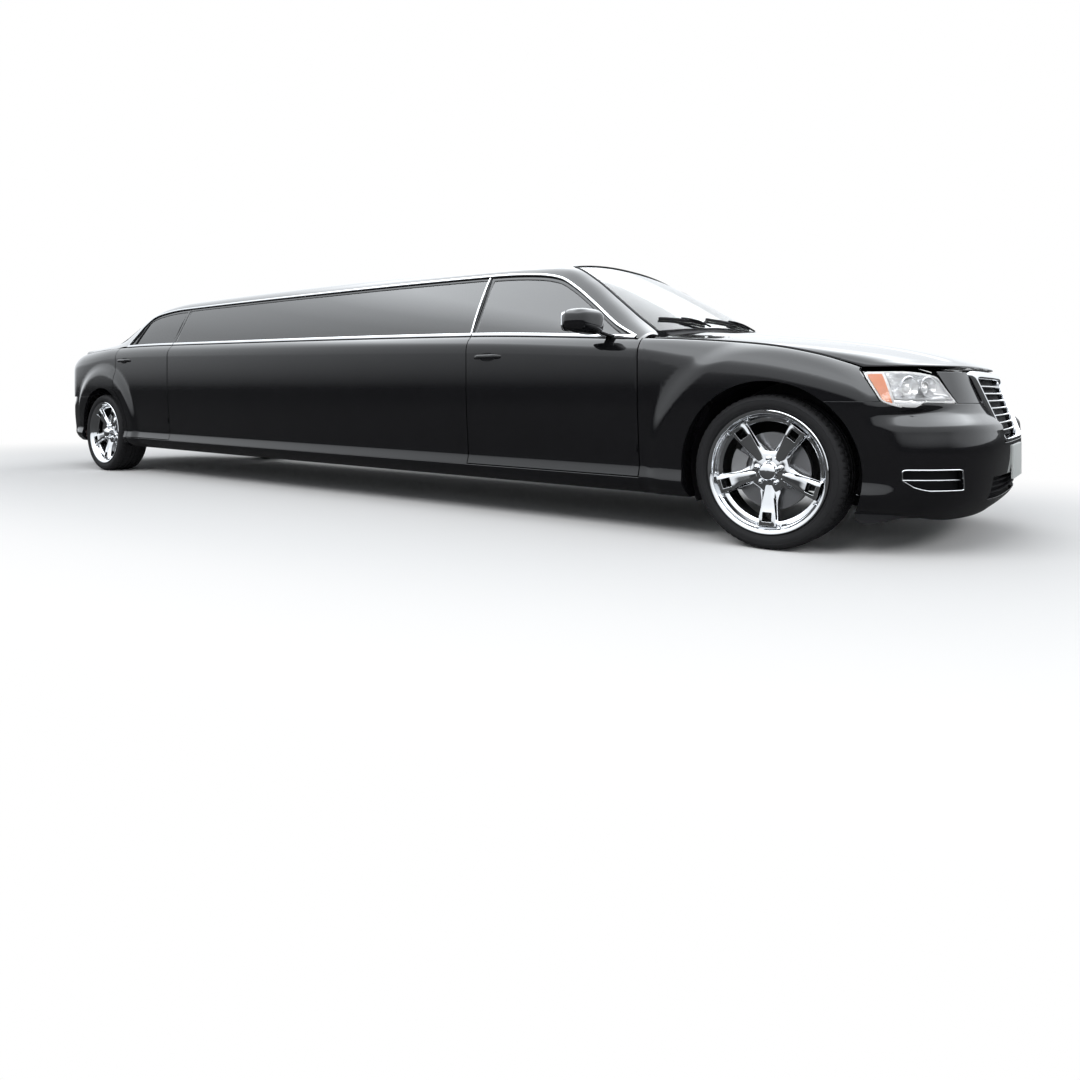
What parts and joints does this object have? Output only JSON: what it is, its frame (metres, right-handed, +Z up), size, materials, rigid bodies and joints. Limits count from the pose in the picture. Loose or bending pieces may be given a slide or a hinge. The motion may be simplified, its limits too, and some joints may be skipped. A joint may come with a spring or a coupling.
{
  "type": "stretch limousine",
  "caption": "Long black saloon car with a stretched cabin, hinged doors, hood and boot lid, steered front wheels and chrome spoked rims.",
  "frame": {"origin": "on the ground under the middle of the car", "axes": "+X forward, +Y to the car's left, +Z up"},
  "size_m": [8.09, 2.258, 1.5054],
  "materials": {
    "paint": "deep gloss black",
    "frame": "dull steel",
    "chrome": "polished chrome",
    "headlamp": "clear lens",
    "tail_lamp": "red lens",
    "trim": "grained black",
    "clear_glass": "clear",
    "dark_glass": "dark tint",
    "leather": "soft grain",
    "tyre": "matt rubber",
    "disc": "machined"
  },
  "bodies": {
    "body": {"chassis": "frame", "engine": "frame", "exhaust": "frame", "front_axle": "frame", "rear_axle": "frame", "front_bumper": "paint", "rear_bumper": "paint", "nose_panels": "paint", "grille": "chrome", "headlamps": "headlamp", "tail_lamps": "tail_lamp", "fenders": "paint", "side_panels": "paint", "door_hinges": "frame", "sills": "paint", "quarter_panels": "paint", "roof_rails": "paint", "roof": "paint", "cowl": "trim", "rear_deck": "paint", "windscreen": "clear_glass", "rear_window": "dark_glass", "side_windows": "dark_glass", "dashboard": "trim", "steering_wheel": "trim", "front_seats": "leather", "lounge_seats": "leather", "partition": "trim"},
    "hood": {"hood": "paint"},
    "boot_lid": {"boot_lid": "paint"},
    "door_front_left": {"door_front_left": "paint", "glass_front_left": "dark_glass", "mirror_left": "paint"},
    "door_front_right": {"door_front_right": "paint", "glass_front_right": "dark_glass", "mirror_right": "paint"},
    "door_rear_left": {"door_rear_left": "paint", "glass_rear_left": "dark_glass"},
    "door_rear_right": {"door_rear_right": "paint", "glass_rear_right": "dark_glass"},
    "knuckle_left": {"knuckle_left": "frame"},
    "knuckle_right": {"knuckle_right": "frame"},
    "wheel_front_left": {"rim_front_left": "chrome", "tyre_front_left": "tyre", "disc_front_left": "disc"},
    "wheel_front_right": {"rim_front_right": "chrome", "tyre_front_right": "tyre", "disc_front_right": "disc"},
    "wheel_rear_left": {"rim_rear_left": "chrome", "tyre_rear_left": "tyre", "disc_rear_left": "disc"},
    "wheel_rear_right": {"rim_rear_right": "chrome", "tyre_rear_right": "tyre", "disc_rear_right": "disc"}
  },
  "joints": [
    {"name": "steer_left", "type": "hinge", "parent": "body", "child": "knuckle_left", "pos_m": [3.195, 0.77, 0.34], "axis": [0, 0, 1], "range_deg": [-33, 33]},
    {"name": "steer_right", "type": "hinge", "parent": "body", "child": "knuckle_right", "pos_m": [3.195, -0.77, 0.34], "axis": [0, 0, 1], "range_deg": [-33, 33]},
    {"name": "roll_front_left", "type": "hinge", "parent": "knuckle_left", "child": "wheel_front_left", "pos_m": [3.195, 0.805, 0.34], "axis": [0, 1, 0], "continuous": true},
    {"name": "roll_front_right", "type": "hinge", "parent": "knuckle_right", "child": "wheel_front_right", "pos_m": [3.195, -0.805, 0.34], "axis": [0, 1, 0], "continuous": true},
    {"name": "roll_rear_left", "type": "hinge", "parent": "body", "child": "wheel_rear_left", "pos_m": [-2.905, 0.805, 0.34], "axis": [0, 1, 0], "continuous": true},
    {"name": "roll_rear_right", "type": "hinge", "parent": "body", "child": "wheel_rear_right", "pos_m": [-2.905, -0.805, 0.34], "axis": [0, 1, 0], "continuous": true},
    {"name": "open_front_left", "type": "hinge", "parent": "body", "child": "door_front_left", "pos_m": [2.547, 0.917, 0.64], "axis": [0, 0, -1], "range_deg": [0, 65]},
    {"name": "open_front_right", "type": "hinge", "parent": "body", "child": "door_front_right", "pos_m": [2.547, -0.917, 0.64], "axis": [0, 0, 1], "range_deg": [0, 65]},
    {"name": "open_rear_left", "type": "hinge", "parent": "body", "child": "door_rear_left", "pos_m": [-1.811, 0.917, 0.64], "axis": [0, 0, -1], "range_deg": [0, 65]},
    {"name": "open_rear_right", "type": "hinge", "parent": "body", "child": "door_rear_right", "pos_m": [-1.811, -0.917, 0.64], "axis": [0, 0, 1], "range_deg": [0, 65]},
    {"name": "open_hood", "type": "hinge", "parent": "body", "child": "hood", "pos_m": [2.625, 0, 0.953], "axis": [0, -1, 0], "range_deg": [0, 50]},
    {"name": "open_boot", "type": "hinge", "parent": "body", "child": "boot_lid", "pos_m": [-3.429, 0, 1.096], "axis": [0, 1, 0], "range_deg": [0, 70]}
  ],
  "couplings": [
    {"joint": "steer_right", "follows": "steer_left", "ratio": 1}
  ]
}
